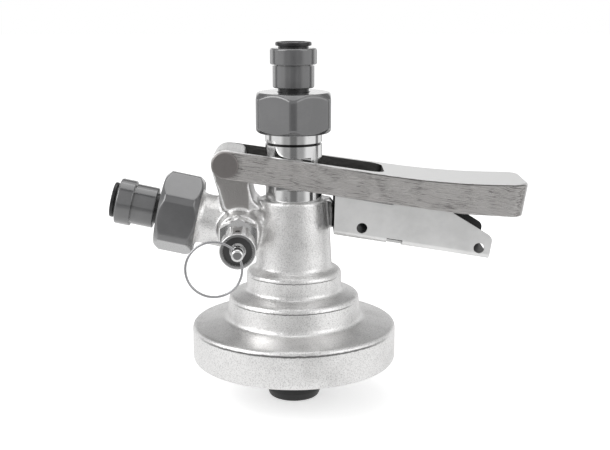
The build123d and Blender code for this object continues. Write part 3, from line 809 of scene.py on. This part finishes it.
@dataclass
class HoseFitting(SubAssembly):
    """Union nut, tail and push-in socket of one hose."""

    finishes: dict[str, Finish] = field(default_factory=dict)
    use: Use = Use.BEER
    body: str = "probe"
    seat: Place = (0.0, 0.0, 0.0887)
    lean: float = 0.0
    mould: Mould = Mould(0.00034)
    nut_length: float = 0.0152
    nut_corner_r: float = 0.0155
    nut_cone: float = 0.0021
    cone_past: float = 0.00001
    cone_steps: int = 96
    edge_passes: int = 3

    def __post_init__(self) -> None:
        """Name the fitting's solids by its use."""
        pieces = {
            "nut": Finish.grey_plastic,
            "washer": Finish.black_rubber,
            "tail": Finish.black_plastic,
            "shell": Finish.grey_plastic,
            "tube_ring": Finish.black_rubber,
            "grab_ring": Finish.spring_steel,
            "cap": Finish.grey_plastic,
            "collet": Finish.black_plastic,
        }
        self.finishes = {f"{self.use.value}_{name}": finish for name, finish in pieces.items()}

    def build(self) -> None:
        """Dress the solids and give the nut its conical ends and soft edges."""
        super().build()
        name = f"{self.use.value}_nut"
        blank = self.mould.blank(name)
        cone = self._cone()
        cut = blank.modifiers.new("cone", "BOOLEAN")
        cut.operation = "INTERSECT"
        cut.solver = "EXACT"
        cut.object = cone
        shape = self.mould.skin(blank)
        bpy.data.objects.remove(cone)
        self.mould.ease(shape, shape.verts, self.edge_passes)
        nut = placed(shape, f"{name}_coned")
        self.wardrobe.dress(nut, Finish.grey_plastic)
        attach(nut, self.body)
        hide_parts(name)
        log.info("coned %s: %d faces", name, len(nut.data.polygons))

    def _cone(self) -> bpy.types.Object:
        """Lathe the shape that leaves the nut's ends conical.

        Returns:
            The lathed object, which cuts the nut and is then removed.
        """
        shape = bmesh.new()
        low = -self.cone_past
        high = self.nut_length + self.cone_past
        inner = self.nut_corner_r - self.nut_cone
        corners = ((0.0, low), (inner, low), (self.nut_corner_r, low + self.nut_cone))
        corners += ((self.nut_corner_r, high - self.nut_cone), (inner, high), (0.0, high))
        verts = [shape.verts.new((radius, 0.0, height)) for radius, height in corners]
        edges = [shape.edges.new(pair) for pair in zip(verts, verts[1:])]
        axis = {"axis": (0.0, 0.0, 1.0), "cent": (0.0, 0.0, 0.0), "angle": 2 * math.pi}
        bmesh.ops.spin(
            shape, geom=verts + edges, steps=self.cone_steps, use_merge=True, use_duplicate=False, **axis
        )
        bmesh.ops.remove_doubles(shape, verts=shape.verts, dist=0.0000005)
        bmesh.ops.recalc_face_normals(shape, faces=shape.faces)
        place = Matrix.Translation(self.seat) @ Matrix.Rotation(-self.lean, 4, "Y")
        bmesh.ops.transform(shape, matrix=place, verts=shape.verts)
        return placed(shape, "nut_cone")


@dataclass
class Probe(SubAssembly):
    """Sliding probe, its seal and the valves in the two ways through."""

    finishes: dict[str, Finish] = field(
        default_factory=lambda: {
            "probe": Finish.polished_steel,
            "probe_seal": Finish.black_rubber,
            "beer_check_ball": Finish.white_plastic,
            "ball_cage": Finish.black_plastic,
            "gas_check_valve": Finish.black_rubber,
        }
    )


@dataclass
class ReliefValve(SubAssembly):
    """Relief valve, with its spring and pull ring."""

    finishes: dict[str, Finish] = field(
        default_factory=lambda: {
            "relief_body": Finish.polished_steel,
            "relief_cap": Finish.valve_face,
            "relief_stem": Finish.polished_steel,
            "relief_pad": Finish.black_rubber,
            "relief_spring": Finish.spring_steel,
            "pull_ring": Finish.spring_steel,
        }
    )
    turn: float = math.radians(2.4)
    travel: float = 0.0025
    merge_gap: float = 0.000001

    def build(self) -> None:
        """Dress the solids and put a merged copy of the spring wire on the body."""
        super().build()
        wire = merged("relief_spring", "relief_spring_wire", self.merge_gap)
        self.wardrobe.dress(wire, Finish.spring_steel)
        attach(wire, "body")
        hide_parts("relief_spring")
        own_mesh(wire)


@dataclass
class LeverAndLatch(SubAssembly):
    """Lever on the hinge pin, with the sprung latch under its grip."""

    finishes: dict[str, Finish] = field(
        default_factory=lambda: {
            "lever": Finish.brushed_lever,
            "latch": Finish.satin_sheet,
            "latch_pin": Finish.pin_steel,
            "latch_spring": Finish.spring_steel,
        }
    )


# ---------------------------------------------------------------------------
# Studio
# ---------------------------------------------------------------------------


@dataclass(frozen=True)
class Lamp:
    """A soft square lamp: its name, place, side in metres and power in watts."""

    name: str
    place: Place
    size: float
    power: float


@dataclass
class Studio:
    """White sweep, soft lamps and the camera."""

    camera_place: Place = (0.0043, -0.413, 0.1443)
    camera_pitch: float = math.radians(12.5)
    lens: float = 64.9
    sensor: float = 36.0
    near_clip: float = 0.01
    floor_z: float = -0.0158
    floor_size: float = 6.0
    floor_tone: Tone = (0.93, 0.93, 0.93)
    floor_glow: float = 0.57
    world_light: float = 0.50
    aim: Place = (0.0, 0.0, 0.05)
    # How much each card that metal mirrors takes off the white, above the horizon and on the floor.
    sky_front: float = 0.35
    sky_strip: float = 0.55
    sky_back: float = 0.75
    sky_roof: float = 0.65
    ground_front: float = 0.55
    ground_strip: float = 0.75
    ground_lens: float = 0.25
    ground_back: float = 0.65
    lamps: tuple[Lamp, ...] = (
        Lamp("key", (-0.95, -0.45, 0.75), 0.9, 6.5),
        Lamp("fill", (0.9, -0.6, 0.5), 0.8, 1.6),
        Lamp("top", (0.0, 0.15, 1.1), 0.8, 2.6),
    )

    def build(self) -> None:
        """Make the whole studio."""
        self._floor()
        self._world()
        for lamp in self.lamps:
            self._hang(lamp)
        self._camera()
        bpy.context.scene.view_settings.view_transform = "Standard"
        log.info("lit the studio")

    def _cards(self, g: Graph, vector: bpy.types.NodeSocket, below: bool) -> bpy.types.NodeSocket:
        """Paint the white of the sweep with the grey cards in it that metal mirrors.

        Args:
            g: The tree.
            vector: A direction or a place on the floor.
            below: True for the floor, False above the horizon.

        Returns:
            The colour, from black to white.
        """
        x, y, z = g.split(vector)
        reach = (x * x + y * y) ** 0.5
        front = -y / (x * x + y * y + 0.0001) ** 0.5
        middle = front.step(0.55, 0.82)
        strip = front.band(-0.52, -0.42, -0.24, -0.14)
        if below:
            lens = front.step(0.95, 0.99)
            back = 1.0 - front.step(-0.95, -0.80)
            far = reach.step(0.13, 0.34)
            dark = self.ground_front * middle + self.ground_strip * strip + self.ground_lens * lens
            white = 1.0 - far * dark - self.ground_back * back
        else:
            back = z.band(0.26, 0.38, 0.62, 0.76) * (-front).step(0.35, 0.75)
            roof = z.step(0.88, 0.96)
            dark = self.sky_front * middle + self.sky_strip * strip
            white = 1.0 - dark - self.sky_back * back - self.sky_roof * roof
        return g.mix(white, BLACK, WHITE)

    def _floor(self) -> None:
        """Make the pale floor, which is clear from below."""
        shape = bmesh.new()
        bmesh.ops.create_grid(shape, x_segments=1, y_segments=1, size=self.floor_size / 2)
        bmesh.ops.translate(shape, verts=shape.verts, vec=(0.0, 0.0, self.floor_z))
        floor = placed(shape, "floor")
        g = Graph(bpy.data.materials.new("floor_white"))
        path = g.node("ShaderNodeLightPath")
        seen = Value(g, path.outputs["Is Camera Ray"]) + Value(g, path.outputs["Is Transmission Ray"])
        diffuse = g.node("ShaderNodeBsdfDiffuse", None, Color=colour(self.floor_tone))
        glow = g.node("ShaderNodeEmission", None, Color=WHITE, Strength=self.floor_glow)
        lit = g.node("ShaderNodeAddShader")
        g.feed(lit.inputs[0], diffuse.outputs[0])
        g.feed(lit.inputs[1], glow.outputs[0])
        mirrored = g.node("ShaderNodeEmission", None, Color=self._cards(g, g.place(), True))
        plain = g.blend(seen, diffuse, lit)
        both = g.blend(Value(g, path.outputs["Is Glossy Ray"]), plain, mirrored)
        under = Value(g, g.node("ShaderNodeNewGeometry").outputs["Backfacing"])
        clear = g.node("ShaderNodeBsdfTransparent")
        g.node("ShaderNodeOutputMaterial", None, Surface=g.blend(under, both, clear).outputs[0])
        floor.data.materials.append(g.owner)

    def _world(self) -> None:
        """Make the surrounding light: white to the eye, softer on the object."""
        world = bpy.data.worlds.new("studio_world")
        bpy.context.scene.world = world
        g = Graph(world)
        path = g.node("ShaderNodeLightPath")
        seen = Value(g, path.outputs["Is Camera Ray"]) + Value(g, path.outputs["Is Transmission Ray"])
        white = g.node("ShaderNodeBackground", None, Color=WHITE, Strength=1.0)
        soft = g.node("ShaderNodeBackground", None, Color=WHITE, Strength=self.world_light)
        direction = g.node("ShaderNodeTexCoord").outputs["Generated"]
        mirrored = g.node("ShaderNodeBackground", None, Color=self._cards(g, direction, False))
        plain = g.blend(Value(g, path.outputs["Is Glossy Ray"]), soft, mirrored)
        both = g.blend(seen, plain, white)
        g.node("ShaderNodeOutputWorld", None, Surface=both.outputs[0])

    def _hang(self, lamp: Lamp) -> None:
        """Add a lamp and aim it at the object's middle.

        Args:
            lamp: The lamp.
        """
        data = bpy.data.lights.new(lamp.name, "AREA")
        data.size = lamp.size
        data.energy = lamp.power
        light = bpy.data.objects.new(lamp.name, data)
        light.location = lamp.place
        aim = Vector(self.aim) - Vector(lamp.place)
        light.rotation_euler = aim.to_track_quat("-Z", "Y").to_euler()
        bpy.context.scene.collection.objects.link(light)

    def _camera(self) -> None:
        """Put the camera in its place."""
        data = bpy.data.cameras.new("camera")
        data.lens = self.lens
        data.sensor_width = self.sensor
        data.clip_start = self.near_clip
        camera = bpy.data.objects.new("camera", data)
        camera.location = self.camera_place
        camera.rotation_euler = (math.pi / 2 - self.camera_pitch, 0.0, 0.0)
        bpy.context.scene.collection.objects.link(camera)
        bpy.context.scene.camera = camera


def main() -> None:
    """Build the whole scene in order."""
    logging.basicConfig(level=logging.INFO)
    wardrobe = Wardrobe()
    Casting(wardrobe).build()
    HoseFitting(wardrobe, use=Use.BEER).build()
    HoseFitting(wardrobe, use=Use.GAS, body="body", seat=GAS_SEAT, lean=GAS_LEAN).build()
    Probe(wardrobe).build()
    ReliefValve(wardrobe).build()
    LeverAndLatch(wardrobe).build()
    Studio().build()


if __name__ == "__main__":
    main()
